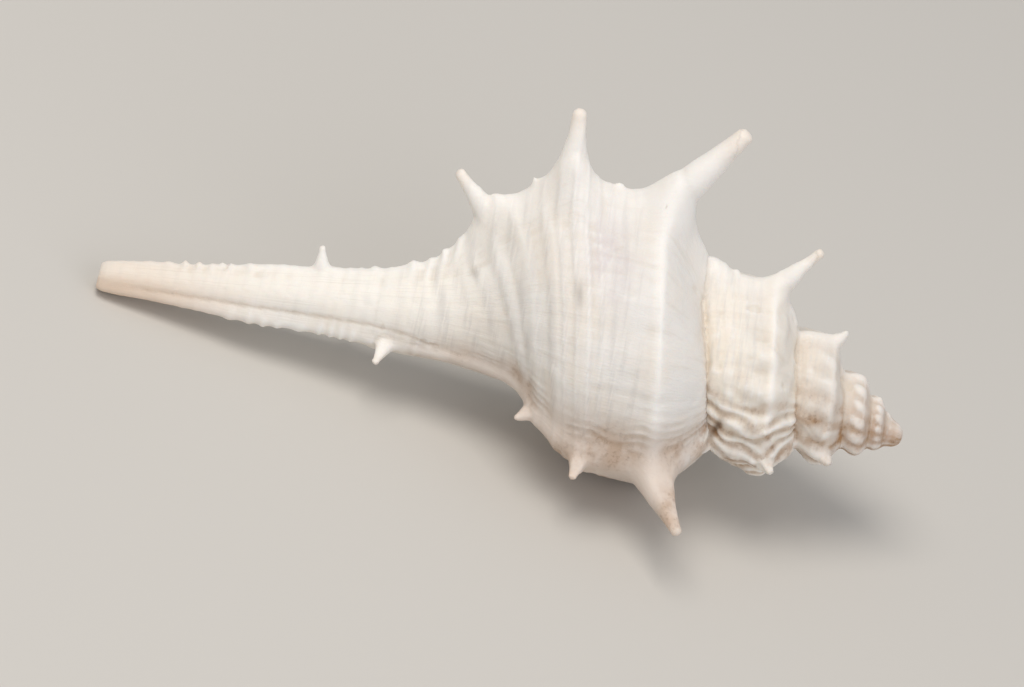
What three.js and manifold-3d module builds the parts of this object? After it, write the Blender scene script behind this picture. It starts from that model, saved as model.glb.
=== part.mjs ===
// A murex shell of the long-canalled, spiny kind, lying on its side: one solid, in millimetres.
// Every whorl is the last one made smaller towards the apex, more along the axis than across it.
// A place on the body is given by three numbers: how far down the coiling axis from the apex it
// is, how far out from the axis it is, and its turn, which is 0 at the lip and negative before it.

import * as THREE from 'three';
import Module from 'manifold-3d';

const wasm = await Module();
wasm.setup();

// Coiling
const DOWN_RATIO = 0.56; // a whorl against the next one, along the axis
const OUT_RATIO = 0.65; // and across it
const WHORLS = 5;
const VARICES_PER_WHORL = 3; // in line from whorl to whorl
const LIP_TURN = 0.012; // the thin edge grown past the last varix
const CORE_SHARE = 0.03; // the whorls' sections stop this near the axis, inside the core
const CORE_RADIUS = 2.6;
const CORE_FROM = 20;
const CORE_SIDES = 12;
const SPIRE_LEAN_FROM = 11;
const SPIRE_LEAN = 1.6; // how far the apex lies off the axis, away from the lip
const APEX_TOP = -0.2;
const APEX_RADIUS = 1.15;
const APEX_RING_ANGLES = [5, 30, 55, 80]; // degrees from the top of the small dome at the apex

// Outline of the last whorl at the lip, as [down, out], from the suture to the canal
const OUTLINE = [
  [20.4, 6.4],
  [21.2, 8.6],
  [23.4, 11.3],
  [25.4, 12.5],
  [28.4, 12.8],
  [31.8, 12.8],
  [34.8, 11.9],
  [37.4, 9.6],
  [39.8, 6.7],
  [42.4, 4.4],
  [46.0, 3.25],
];
const OUTLINE_SAMPLES = 400;
const SLOPE_SPAN = 1.2; // stretch of the outline that a slope is measured over
const KEEL_DOWN = 25.4;
const NECK_FROM = 38.5; // from here on the outline stops shrinking with age and joins the canal

// Siphonal canal, a tapered tube with the varices as low ridges on it. Canal and lower body lean
// off the coiling axis.
const CANAL_TIP = 69.6;
const CANAL_TOP_RADIUS = 3.15;
const CANAL_TIP_RADIUS = 1.3;
const CANAL_OVERLAP = 2; // how far it starts inside the body
const LEAN_FROM = 34;
const CANAL_LEAN = 5; // how far the tip lies off the axis, away from the lip
const CANAL_RIDGE = 0.5;
const CANAL_RIDGE_AT_TIP = 0.3; // against the height at the top
const RIDGE_FADES_FROM = 1 / 3; // of the canal's length
const RIDGE_SHARPNESS = 3;
const CANAL_SIDES = 18;
const CANAL_RINGS = 12;

// Spiral cords round the whorls, at the size of the last one
const CORDS = [
  { down: 25.4, height: 0.4, width: 0.65 },
  { down: 32.6, height: 0.15, width: 0.5 },
  { down: 35.2, height: 0.15, width: 0.45 },
  { down: 37.2, height: 0.3, width: 0.45 },
  { down: 38.9, height: 0.3, width: 0.45 },
];
const CORD_FOOT = 1.3; // from a cord's crest to its foot, against its width

// Low knobs under the keel between two varices, strong on the spire and faint on the last whorl
const KNOBS_PER_VARIX = 4;
const KNOB_HEIGHT = 0.9;
const KNOB_HEIGHT_LAST_WHORL = 0.15;
const KNOB_LENGTH = 3.2;
const KNOB_BELOW_KEEL = 1.2;
const KNOBS_FADE_FROM_TURN = -1.6;
const KNOBS_FADE_TO_TURN = -0.4;

// Varices, the thick ribs left by earlier lips: height in millimetres, widths in turns
const VARIX_HEIGHT = 1.2;
const LIP_HEIGHT = 1.6; // the newest varix, at the lip
const VARIX_BACK = 0.034;
const VARIX_FRONT = 0.02;
const VARIX_FADES_FROM = 33; // down the outline, to its end
const VARIX_ON_NECK = 0.35; // against its height on the body

// A varix rises further, in a web, on both sides of the foot of each spine
const WEB_HEIGHT = 2.7;
const WEB_WIDTH = 1.4;
const WEB_FULL_LENGTH = 6; // a shorter spine has a lower web, and a stub almost none

// The varix of the whorl before rises to meet the upper end of the lip
const JOIN_VARIX = 3;
const JOIN_DOWN = 34.6;
const JOIN_HEIGHT = 2.6;
const JOIN_WIDTH = 2.2;

// Spines on the varices. Varix 0 is the lip and each higher number is one varix older.
// down is at the size of the last whorl, and lean is the angle from straight out to the apex.
const SPINES = [
  { varix: 0, down: 25.3, length: 9.0, lean: 34, base: 1.8, tip: 0.8 },
  { varix: 0, down: 29.2, length: 0.7, lean: 8, base: 0.8, tip: 0.4 },
  { varix: 0, down: 32.8, length: 6.0, lean: -8, base: 1.9, tip: 0.42 },
  { varix: 0, down: 35.0, length: 1.2, lean: -20, base: 0.8, tip: 0.35 },
  { varix: 0, down: 37.8, length: 4.8, lean: -50, base: 1.45, tip: 0.45 },
  { varix: 1, down: 25.3, length: 6.4, lean: 25, base: 1.9, tip: 0.45 },
  { varix: 1, down: 32.4, length: 2.8, lean: -8, base: 1.2, tip: 0.4 },
  { varix: 1, down: 37.6, length: 2.0, lean: -45, base: 0.9, tip: 0.3 },
  { varix: 2, down: 25.3, length: 5.8, lean: 28, base: 1.5, tip: 0.45 },
  { varix: 2, down: 32.4, length: 2.6, lean: -8, base: 1.1, tip: 0.4 },
  { varix: 2, down: 37.2, length: 2.0, lean: -42, base: 0.9, tip: 0.3 },
  { varix: 3, down: 25.3, length: 4.9, lean: 36, base: 1.15, tip: 0.4 },
  { varix: 3, down: 31.4, length: 0.9, lean: 0, base: 0.6, tip: 0.3 },
  { varix: 4, down: 25.3, length: 1.4, lean: 30, base: 0.9, tip: 0.4 },
  { varix: 5, down: 25.3, length: 1.8, lean: 32, base: 0.85, tip: 0.35 },
  { varix: 6, down: 25.3, length: 1.5, lean: 34, base: 0.7, tip: 0.3 },
  { varix: 7, down: 25.3, length: 0.9, lean: 34, base: 0.6, tip: 0.28 },
  { varix: 8, down: 25.3, length: 0.9, lean: 34, base: 0.55, tip: 0.25 },
];
const CANAL_SPINES = [
  { varix: 0, down: 51.4, length: 2.4, lean: -12, base: 0.95, tip: 0.35 },
  { varix: 0, down: 59.6, length: 0.7, lean: -10, base: 0.45, tip: 0.2 },
  { varix: 1, down: 44.6, length: 3.2, lean: -14, base: 0.95, tip: 0.35 },
  { varix: 2, down: 48.2, length: 2.0, lean: -12, base: 0.85, tip: 0.3 },
];
const SPINE_SIDES = 7;
const SPINE_RINGS = 4;
const SPINE_CURL = 0.12; // bend towards the mouth, as a share of the length
const SPINE_FLARE = 1.5; // power by which it widens towards its base
const SPINE_SINK = 0.4; // how deep in the varix its base is
const TIP_FACE = 0.45; // the blunt end, and how far it stands out, against the tip's radius
const TIP_REACH = 0.6;

// The hollow of the last whorl, an oval swept back from the mouth
const HOLLOW_DOWN = 30.4;
const HOLLOW_OUT = 7.3;
const HOLLOW_HALF_DOWN = 7.3;
const HOLLOW_HALF_OUT = 4.3;
const HOLLOW_TILT = 14; // degrees, its lower end nearer the axis
const HOLLOW_TURNS = 0.62;
const HOLLOW_SIDES = 20;
const HOLLOW_STEPS = 14;
const BLIND_END = [0.5, 0.85]; // sizes of the first sections, against the rest
const MOUTH_FLARE = 1.08;
const MOUTH_FLARE_FROM_TURN = -0.03;
const MOUTH_FLARE_TURNS = 0.05;
const PAST_LIP_TURN = 0.05; // the hollow's last section, clear of the lip

// The canal's bore, led out of the hollow, and the slit that opens it all the way down
const BORE_FROM = 34.8;
const BORE_CENTRED = 46;
const BORE_SIDE = 5.0; // how far off the axis it starts, towards BORE_TURN
const BORE_TURN = 0.03;
const BORE_SHARE = 0.5; // against the canal's radius
const BORE_SIDES = 9;
const BORE_STEPS = 14;
const SLIT_TURN = 0.2;
const SLIT_WIDTH = 0.8;
const SLIT_WIDTH_AT_MOUTH = 2.6;
const PAST_TIP = 0.8; // how far both run on past the canal's tip
const PAST_WALL = 3; // how far the slit runs on past the canal's wall

// Sections between two varices, and points down each section
const LAST_WHORL_STEPS = 12;
const SPIRE_STEPS = 8;
const CROWDING = 0.09; // how far sections are drawn towards the varices, against a third of a turn
const LAST_WHORL_PLAIN_POINTS = 15;
const SPIRE_PLAIN_POINTS = 12;
const POINTS_APART = 0.4;

// Rest: about which turn of the last whorl is uppermost, and how the shell rolls from there
const UP_TURN = -0.035;
const FIRST_ROLL = 0.1;
const LAST_ROLL = 1e-6;
const NEXT_ROLL = 0.7; // against the roll before
const ROLLS = [-1, 0, 1].flatMap((x) => [-1, 0, 1].flatMap((y) => (
  [-1, 0, 1].map((z) => new THREE.Vector3(x, y, z))
)));

const DEGREE = Math.PI / 180;
const DOWN_AXIS = new THREE.Vector3(-1, 0, 0);

const mix = (a, b, share) => a + (b - a) * share;
const clamp01 = (value) => Math.min(1, Math.max(0, value));
const ease = (value) => clamp01(value) ** 2 * (3 - 2 * clamp01(value));
const between = (from, to, value) => ease((value - from) / (to - from));
const bump = (distance) => Math.exp(-(distance ** 2));
const count = (length, make) => Array.from({ length }, (_, i) => make(i));

// A step down along the axis and straight out from it
function offset(down, out, turn) {
  const angle = 2 * Math.PI * turn;
  return new THREE.Vector3(-down, out * Math.sin(angle), out * Math.cos(angle));
}

function place(down, out, turn) {
  const point = offset(down, out, turn);
  point.z -= leanAt(down);
  return point;
}

// How far the shell leans away from the lip: nothing in the middle, and evenly more from there to
// the canal's tip and to the apex
function leanAt(down) {
  const ofCanal = CANAL_LEAN * Math.max(0, (down - LEAN_FROM) / (CANAL_TIP - LEAN_FROM));
  const ofSpire = SPIRE_LEAN * Math.max(0, 1 - down / SPIRE_LEAN_FROM);
  return ofCanal + ofSpire;
}

const outlineCurve = new THREE.SplineCurve(OUTLINE.map(([down, out]) => new THREE.Vector2(down, out)));
const outlinePoints = outlineCurve.getPoints(OUTLINE_SAMPLES);
const OUTLINE_FROM = OUTLINE[0][0];
const OUTLINE_TO = OUTLINE[OUTLINE.length - 1][0];

function outlineAt(down) {
  const after = outlinePoints.findIndex((point) => point.x >= down);
  if (after < 1) {
    return after === 0 ? outlinePoints[0].y : outlinePoints[outlinePoints.length - 1].y;
  }
  const [a, b] = [outlinePoints[after - 1], outlinePoints[after]];
  return mix(a.y, b.y, (down - a.x) / (b.x - a.x));
}

function varixAt(down, turn, webbed) {
  const varix = Math.round(turn * VARICES_PER_WHORL);
  const past = turn - varix / VARICES_PER_WHORL;
  const plain = varix === 0 ? LIP_HEIGHT : VARIX_HEIGHT;
  const height = plain + (webbed ? webAt(down, -varix) : 0);
  const onNeck = mix(1, VARIX_ON_NECK, between(VARIX_FADES_FROM, OUTLINE_TO, down));
  return height * onNeck * bump(past / (past < 0 ? VARIX_BACK : VARIX_FRONT));
}

function webAt(down, varix) {
  const webs = SPINES.filter((entry) => entry.varix === varix).map((entry) => (
    Math.min(1, entry.length / WEB_FULL_LENGTH) ** 2 * bump((down - entry.down) / WEB_WIDTH)
  ));
  const join = varix === JOIN_VARIX ? JOIN_HEIGHT * bump((down - JOIN_DOWN) / JOIN_WIDTH) : 0;
  return WEB_HEIGHT * webs.reduce((sum, height) => sum + height, 0) + join;
}

function relief(down, turn) {
  const cords = CORDS.map((cord) => cord.height * bump((down - cord.down) / cord.width));
  const wave = Math.cos(2 * Math.PI * turn * VARICES_PER_WHORL * (KNOBS_PER_VARIX + 1));
  const faded = between(KNOBS_FADE_FROM_TURN, KNOBS_FADE_TO_TURN, turn);
  const knob = mix(KNOB_HEIGHT, KNOB_HEIGHT_LAST_WHORL, faded) * (0.5 + 0.5 * wave);
  const belowKeel = bump((down - KEEL_DOWN - KNOB_BELOW_KEEL) / KNOB_LENGTH);
  return cords.reduce((sum, height) => sum + height, 0) + knob * belowKeel;
}

// The outer surface. down is at the size of the last whorl; the answer is at the turn's own size.
// A varix stands up square to the outline, so on the shoulder it also leans to the apex. Spines
// start from the surface as it is without the webs, so that a web doesn't push its spine out.
function surface(down, turn, webbed = true) {
  const onNeck = between(NECK_FROM, OUTLINE_TO, down);
  const rise = outlineAt(down + SLOPE_SPAN / 2) - outlineAt(down - SLOPE_SPAN / 2);
  const slope = rise / SLOPE_SPAN;
  const square = new THREE.Vector2(-slope, 1).setLength(varixAt(down, turn, webbed));
  return {
    down: (down + square.x) * mix(DOWN_RATIO ** -turn, 1, onNeck),
    out: (outlineAt(down) + relief(down, turn) + square.y) * mix(OUT_RATIO ** -turn, 1, onNeck),
  };
}

function canalShare(down) {
  return (down - OUTLINE_TO) / (CANAL_TIP - OUTLINE_TO);
}

function canalRadius(down) {
  return mix(CANAL_TOP_RADIUS, CANAL_TIP_RADIUS, Math.max(0, canalShare(down)));
}

function solid(positions, triangles) {
  const vertProperties = new Float32Array(positions);
  const build = (list) => {
    const triVerts = new Uint32Array(list);
    return new wasm.Manifold(new wasm.Mesh({ numProp: 3, vertProperties, triVerts }));
  };
  const body = build(triangles);
  return body.volume() > 0 ? body : build([...triangles].reverse());
}

// A closed solid through rings of as many points each. cap lists the triangles of an end.
function loft(rings, cap = fanCap) {
  const points = rings[0].length;
  const triangles = [];
  for (let ring = 0; ring + 1 < rings.length; ring += 1) {
    for (let i = 0; i < points; i += 1) {
      const a = ring * points + i;
      const b = ring * points + ((i + 1) % points);
      triangles.push(a, b, a + points, b, b + points, a + points);
    }
  }
  const last = (rings.length - 1) * points;
  for (const [a, b, c] of cap(points)) {
    triangles.push(c, b, a, last + a, last + b, last + c);
  }
  return solid(rings.flat().flatMap((point) => point.toArray()), triangles);
}

function fanCap(points) {
  return count(points - 2, (i) => [0, i + 1, i + 2]);
}

// The triangles between the first half of a ring and its second half, which runs back beside it
function stripCap(points) {
  const last = points - 1;
  return count(points / 2 - 1, (i) => [[i, i + 1, last - i], [i + 1, last - i - 1, last - i]]).flat();
}

// A solid with round sections, given as centres and radii, that faces one way all along
function tube(stations, sides, facing = DOWN_AXIS) {
  const turned = new THREE.Quaternion().setFromUnitVectors(DOWN_AXIS, facing);
  return loft(stations.map(({ centre, radius }) => count(sides, (i) => (
    offset(0, radius, i / sides).applyQuaternion(turned).add(centre)
  ))));
}

// Where along the outline a section has its points: evenly, and at the top and feet of the cords
function sectionPoints(plain, cordList) {
  const even = count(plain, (i) => mix(OUTLINE_FROM, OUTLINE_TO, i / (plain - 1)));
  const onCords = cordList.flatMap(({ down, width }) => (
    [-CORD_FOOT, 0, CORD_FOOT].map((foot) => down + width * foot)
  ));
  const apart = even.filter((down) => (
    onCords.every((other) => Math.abs(down - other) > POINTS_APART)
  ));
  return [...apart, ...onCords].sort((a, b) => a - b);
}

// A stretch of the coiled body, filled almost to the axis. Each ring runs down the outer surface
// and back up beside the axis, with a point there for each one outside.
function whorlSolid(turns, downs) {
  const rings = turns.map((turn) => {
    const outer = downs.map((down) => surface(down, turn));
    const inner = outer.map(({ down }) => ({ down, out: down * CORE_SHARE })).reverse();
    return [...outer, ...inner].map(({ down, out }) => place(down, out, turn));
  });
  return loft(rings, stripCap);
}

// Turns from one varix to the next, closer together near both
function turnsFrom(varix, steps) {
  return count(steps + 1, (i) => {
    const share = i / steps;
    return (share - CROWDING * Math.sin(2 * Math.PI * share) - varix) / VARICES_PER_WHORL;
  });
}

// The body in stretches of a third of a turn, each reaching one section into the next
function coiledBody() {
  return count(WHORLS * VARICES_PER_WHORL, (i) => {
    const varix = i + 1;
    const onLastWhorl = varix <= VARICES_PER_WHORL;
    const steps = onLastWhorl ? LAST_WHORL_STEPS : SPIRE_STEPS;
    const turns = turnsFrom(varix, steps);
    turns.push(varix === 1 ? LIP_TURN : turnsFrom(varix - 1, steps)[1]);
    const downs = onLastWhorl
      ? sectionPoints(LAST_WHORL_PLAIN_POINTS, CORDS)
      : sectionPoints(SPIRE_PLAIN_POINTS, CORDS.slice(0, 1));
    return whorlSolid(turns, downs);
  });
}

// The rod inside the whorls, with the small dome of the apex at its end
function core() {
  const dome = APEX_RING_ANGLES.map((angle) => ({
    centre: place(APEX_TOP + APEX_RADIUS * (1 - Math.cos(angle * DEGREE)), 0, 0),
    radius: APEX_RADIUS * Math.sin(angle * DEGREE),
  }));
  const rod = [CORE_FROM, OUTLINE_TO].map((down) => ({
    centre: place(down, 0, 0),
    radius: CORE_RADIUS,
  }));
  return tube([...dome, ...rod], CORE_SIDES);
}

function canal() {
  return loft(count(CANAL_RINGS + 1, (ring) => {
    const down = mix(OUTLINE_TO - CANAL_OVERLAP, CANAL_TIP, ring / CANAL_RINGS);
    const faded = between(RIDGE_FADES_FROM, 1, canalShare(down));
    const height = CANAL_RIDGE * mix(1, CANAL_RIDGE_AT_TIP, faded);
    return count(CANAL_SIDES, (i) => {
      const turn = i / CANAL_SIDES;
      const across = Math.max(0, Math.cos(2 * Math.PI * turn * VARICES_PER_WHORL));
      return place(down, canalRadius(down) + height * across ** RIDGE_SHARPNESS, turn);
    });
  }));
}

function spine(base, { varix, length, lean, base: baseRadius, tip }) {
  const turn = -varix / VARICES_PER_WHORL;
  const direction = offset(-Math.sin(lean * DEGREE), Math.cos(lean * DEGREE), turn);
  const towardsMouth = offset(0, SPINE_CURL * length, turn + 0.25);
  const station = (reach, radius) => ({
    centre: base.clone().addScaledVector(direction, reach)
      .addScaledVector(towardsMouth, Math.max(0, reach / length) ** 2),
    radius,
  });
  const shaft = count(SPINE_RINGS + 1, (i) => {
    const share = i / SPINE_RINGS;
    const radius = mix(tip, baseRadius, (1 - share) ** SPINE_FLARE);
    return station((length - tip * TIP_REACH) * share, radius);
  });
  const root = station(-baseRadius, baseRadius);
  return tube([root, ...shaft, station(length, tip * TIP_FACE)], SPINE_SIDES, direction);
}

function bodySpine(entry) {
  const turn = -entry.varix / VARICES_PER_WHORL;
  const { down, out } = surface(entry.down, turn, false);
  return spine(place(down, out - SPINE_SINK, turn), entry);
}

function canalSpine(entry) {
  const turn = -entry.varix / VARICES_PER_WHORL;
  return spine(place(entry.down, canalRadius(entry.down), turn), entry);
}

// The hollow, from its blind end inside the last whorl out through the mouth
function hollow() {
  const tilt = HOLLOW_TILT * DEGREE;
  return loft(count(HOLLOW_STEPS + 1, (step) => {
    const turn = mix(-HOLLOW_TURNS, PAST_LIP_TURN, step / HOLLOW_STEPS);
    const opened = ease((turn - MOUTH_FLARE_FROM_TURN) / MOUTH_FLARE_TURNS);
    const flare = (BLIND_END[step] ?? 1) * mix(1, MOUTH_FLARE, opened);
    return count(HOLLOW_SIDES, (i) => {
      const angle = (2 * Math.PI * i) / HOLLOW_SIDES;
      const along = HOLLOW_HALF_DOWN * Math.cos(angle) * flare;
      const across = HOLLOW_HALF_OUT * Math.sin(angle) * flare;
      const down = HOLLOW_DOWN + along * Math.cos(tilt) + across * Math.sin(tilt);
      const out = HOLLOW_OUT - along * Math.sin(tilt) + across * Math.cos(tilt);
      const age = Math.min(turn, 0);
      return place(down * DOWN_RATIO ** -age, out * OUT_RATIO ** -age, turn);
    });
  }));
}

function canalGroove() {
  const stations = count(BORE_STEPS + 1, (step) => {
    const down = mix(BORE_FROM, CANAL_TIP + PAST_TIP, step / BORE_STEPS);
    const side = BORE_SIDE * (1 - between(BORE_FROM, BORE_CENTRED, down));
    return { centre: place(down, side, BORE_TURN), radius: canalRadius(down) * BORE_SHARE };
  });
  const slit = loft(stations.slice(1).map(({ centre, radius }) => {
    const narrowed = between(BORE_FROM, BORE_CENTRED, -centre.x);
    const half = offset(0, mix(SLIT_WIDTH_AT_MOUTH, SLIT_WIDTH, narrowed) / 2, SLIT_TURN + 0.25);
    const far = centre.clone().add(offset(0, radius / BORE_SHARE + PAST_WALL, SLIT_TURN));
    return [
      centre.clone().sub(half),
      far.clone().sub(half),
      far.clone().add(half),
      centre.clone().add(half),
    ];
  }));
  return [tube(stations, BORE_SIDES), slit];
}

const grown = [...coiledBody(), core(), canal(), ...SPINES.map(bodySpine), ...CANAL_SPINES.map(canalSpine)];
const hollows = wasm.Manifold.union([hollow(), ...canalGroove()]);
const pieces = wasm.Manifold.union(grown).subtract(hollows).decompose();
const shellBody = pieces.reduce((a, b) => (a.volume() > b.volume() ? a : b));

function toGeometry(body) {
  const { vertProperties, triVerts } = body.getMesh();
  const geometry = new THREE.BufferGeometry();
  geometry.setAttribute('position', new THREE.BufferAttribute(new Float32Array(vertProperties), 3));
  geometry.setIndex(new THREE.BufferAttribute(new Uint32Array(triVerts), 1));
  return geometry;
}

// The centre of mass of a closed mesh, from the tetrahedra between its faces and the origin
function centreOfMass(geometry) {
  const position = geometry.getAttribute('position');
  const corner = (i) => new THREE.Vector3().fromBufferAttribute(position, geometry.index.getX(i));
  const sum = new THREE.Vector3();
  let volume = 0;
  for (let i = 0; i < geometry.index.count; i += 3) {
    const [a, b, c] = [corner(i), corner(i + 1), corner(i + 2)];
    const share = a.dot(b.clone().cross(c)) / 6;
    volume += share;
    sum.addScaledVector(a.add(b).add(c), share / 4);
  }
  return sum.divideScalar(volume);
}

// Rolls the shell to where its centre of mass is lowest, as it comes to rest on a flat surface
function settle(mesh) {
  const position = mesh.geometry.getAttribute('position');
  const points = count(position.count, (i) => new THREE.Vector3().fromBufferAttribute(position, i));
  const centre = centreOfMass(mesh.geometry);
  const up = offset(0, 1, UP_TURN);
  const heightWith = (direction) => {
    const lowest = points.reduce((low, point) => Math.min(low, point.dot(direction)), Infinity);
    return centre.dot(direction) - lowest;
  };
  let height = heightWith(up);
  for (let roll = FIRST_ROLL; roll > LAST_ROLL; roll *= NEXT_ROLL) {
    for (const move of ROLLS) {
      const tried = up.clone().addScaledVector(move, roll).normalize();
      const triedHeight = heightWith(tried);
      if (triedHeight < height) {
        up.copy(tried);
        height = triedHeight;
      }
    }
  }
  mesh.quaternion.setFromUnitVectors(up, new THREE.Vector3(0, 0, 1));
  mesh.updateMatrixWorld(true);
  const box = new THREE.Box3().setFromObject(mesh, true);
  const middle = box.getCenter(new THREE.Vector3());
  mesh.position.set(-middle.x, -middle.y, -box.min.z);
}

const cream = new THREE.MeshStandardMaterial({ color: 0xe6ddd0, roughness: 0.55, metalness: 0 });
const shell = new THREE.Mesh(toGeometry(shellBody), cream);
shell.name = 'shell';
settle(shell);
const group = new THREE.Group();
group.add(shell);

export default group;
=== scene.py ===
# A worn, cream-white murex shell with three rows of spines, lying on its side on a pale floor.
# The shell is worked out in millimetres in its own frame: a place on it is given by how far down
# the coiling axis from the apex it is, how far out from the axis, and its turn, which is 0 at the
# lip and negative before it. It is scaled and laid down at the end.
import math
from types import SimpleNamespace

import bmesh
import bpy
import numpy as np
from mathutils import Matrix, Vector


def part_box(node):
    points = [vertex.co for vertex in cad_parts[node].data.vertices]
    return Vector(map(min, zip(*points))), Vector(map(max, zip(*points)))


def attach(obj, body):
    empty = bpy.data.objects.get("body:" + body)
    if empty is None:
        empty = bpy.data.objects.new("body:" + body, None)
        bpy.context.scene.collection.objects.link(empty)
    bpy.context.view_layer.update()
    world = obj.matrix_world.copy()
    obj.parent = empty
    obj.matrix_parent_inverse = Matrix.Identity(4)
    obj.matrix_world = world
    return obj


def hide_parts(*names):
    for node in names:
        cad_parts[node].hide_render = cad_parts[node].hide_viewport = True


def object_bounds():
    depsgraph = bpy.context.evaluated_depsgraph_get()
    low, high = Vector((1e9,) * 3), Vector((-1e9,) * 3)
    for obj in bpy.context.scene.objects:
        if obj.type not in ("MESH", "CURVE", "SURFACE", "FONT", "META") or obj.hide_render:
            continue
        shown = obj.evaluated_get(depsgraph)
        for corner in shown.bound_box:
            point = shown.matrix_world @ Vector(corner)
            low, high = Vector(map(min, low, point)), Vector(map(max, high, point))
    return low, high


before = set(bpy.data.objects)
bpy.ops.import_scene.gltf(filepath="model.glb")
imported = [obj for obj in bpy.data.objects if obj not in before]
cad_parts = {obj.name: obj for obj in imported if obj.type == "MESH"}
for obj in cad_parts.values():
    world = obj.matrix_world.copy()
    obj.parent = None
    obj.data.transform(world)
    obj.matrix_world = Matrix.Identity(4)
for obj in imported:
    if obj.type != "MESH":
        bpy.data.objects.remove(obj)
cad_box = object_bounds()

METRES = 0.001
QUARTER_TURN = 0.25

# Coiling, as in the solid that this shell replaces
DOWN_RATIO = 0.56
OUT_RATIO = 0.65
WHORLS = 5
VARICES_PER_WHORL = 3
LIP_TURN = 0.012
CORE_SHARE = 0.03
CORE_RADIUS = 2.6
CORE_FROM = 20
CORE_SIDES = 40
SPIRE_LEAN_FROM = 11
SPIRE_LEAN = 1.6
APEX_TOP = -0.2
APEX_RADIUS = 1.15
APEX_DEGREES = (3, 88)  # round the dome that closes the apex, from its middle to its side
APEX_RINGS = 12

OUTLINE = [
    (20.4, 6.4),
    (21.2, 8.6),
    (23.4, 11.3),
    (25.4, 12.5),
    (28.4, 12.8),
    (31.8, 12.8),
    (34.8, 11.9),
    (37.4, 9.6),
    (39.8, 6.7),
    (42.4, 4.4),
    (46.0, 3.25),
]
OUTLINE_FROM = OUTLINE[0][0]
OUTLINE_TO = OUTLINE[-1][0]
OUTLINE_SAMPLES = 400
SLOPE_SPAN = 1.2
KEEL_DOWN = 25.4
NECK_FROM = 38.5

CANAL_TIP = 69.6
CANAL_TOP_RADIUS = 3.15
CANAL_TIP_RADIUS = 1.3
CANAL_OVERLAP = 2
LEAN_FROM = 34
CANAL_LEAN = 5
CANAL_RIDGE = 0.5
CANAL_RIDGE_AT_TIP = 0.3
RIDGE_FADES_FROM = 1 / 3
RIDGE_SHARPNESS = 3
TIP_ROUNDED = 0.15
TIP_ROUNDED_OVER = 0.8

# Spiral cords: down, height and width
CORDS = [
    (25.4, 0.4, 0.65),
    (32.6, 0.15, 0.5),
    (35.2, 0.15, 0.45),
    (37.2, 0.3, 0.45),
    (38.9, 0.3, 0.45),
]

KNOBS_PER_VARIX = 4
KNOB_HEIGHT = 0.9
KNOB_HEIGHT_LAST_WHORL = 0.15
KNOB_LENGTH = 3.2
KNOB_BELOW_KEEL = 1.2
KNOBS_FADE_FROM_TURN = -1.6
KNOBS_FADE_TO_TURN = -0.4

VARIX_HEIGHT = 1.2
LIP_HEIGHT = 1.6
VARIX_BACK = 0.034
VARIX_FRONT = 0.02
VARIX_FADES_FROM = 33
VARIX_ON_NECK = 0.35

# A varix rises further, in a web, on both sides of the foot of each spine
WEB_HEIGHT = 2.7
WEB_WIDTH = 1.4
WEB_FULL_LENGTH = 6

# The varix of the whorl before rises to meet the upper end of the lip
JOIN_VARIX = 3
JOIN_DOWN = 34.6
JOIN_HEIGHT = 2.6
JOIN_WIDTH = 2.2

# Spines: varix, down, length, lean in degrees towards the apex, base radius and tip radius
SPINES = [
    (0, 25.3, 9.0, 34, 1.8, 0.8),
    (0, 29.2, 0.7, 8, 0.8, 0.4),
    (0, 32.8, 6.0, -8, 1.9, 0.42),
    (0, 35.0, 1.2, -20, 0.8, 0.35),
    (0, 37.8, 4.8, -50, 1.45, 0.45),
    (1, 25.3, 6.4, 25, 1.9, 0.45),
    (1, 32.4, 2.8, -8, 1.2, 0.4),
    (1, 37.6, 2.0, -45, 0.9, 0.3),
    (2, 25.3, 5.8, 28, 1.5, 0.45),
    (2, 32.4, 2.6, -8, 1.1, 0.4),
    (2, 37.2, 2.0, -42, 0.9, 0.3),
    (3, 25.3, 4.9, 36, 1.15, 0.4),
    (3, 31.4, 0.9, 0, 0.6, 0.3),
    (4, 25.3, 1.4, 30, 0.9, 0.4),
    (5, 25.3, 1.8, 32, 0.85, 0.35),
    (6, 25.3, 1.5, 34, 0.7, 0.3),
    (7, 25.3, 0.9, 34, 0.6, 0.28),
    (8, 25.3, 0.9, 34, 0.55, 0.25),
]
CANAL_SPINES = [
    (0, 51.4, 2.4, -12, 0.95, 0.35),
    (0, 59.6, 0.7, -10, 0.45, 0.2),
    (1, 44.6, 3.2, -14, 0.95, 0.35),
    (2, 48.2, 2.0, -12, 0.85, 0.3),
]
SPINE_SIDES = 28
SPINE_RINGS = 18
SPINE_TIP_RINGS = 5
SPINE_CURL = 0.12
SPINE_FLARE = 1.5
SPINE_SINK = 0.4
SPINE_GROOVE = 0.22  # depth of the groove down its mouth side, against its radius
SPINE_GROOVE_WIDTH = 0.55  # radians round the spine
TIP_REACH = 0.6
REACH_SLACK = 0.25  # how far outside a spine a point may be and still count as on it
REACH_FULL_LENGTH = 3  # shorter spines are coloured less

HOLLOW_DOWN = 30.4
HOLLOW_OUT = 7.3
HOLLOW_HALF_DOWN = 7.3
HOLLOW_HALF_OUT = 4.3
HOLLOW_TILT = math.radians(14)
HOLLOW_TURNS = 0.62
HOLLOW_SIDES = 96
HOLLOW_STEPS = 90
BLIND_END = [0.3, 0.75, 0.95, 1.0]
BLIND_END_SHARES = [0.0, 0.06, 0.12, 0.18]
MOUTH_FLARE = 1.08
MOUTH_FLARE_FROM_TURN = -0.03
MOUTH_FLARE_TURNS = 0.05
PAST_LIP_TURN = 0.05
HOLLOW_WALL = (1.04, 1.1)  # from in the hollow to out of it, against the size of its oval
BLIND_END_SLACK = 0.03
PAST_LIP_SLACK = 0.02

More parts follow.
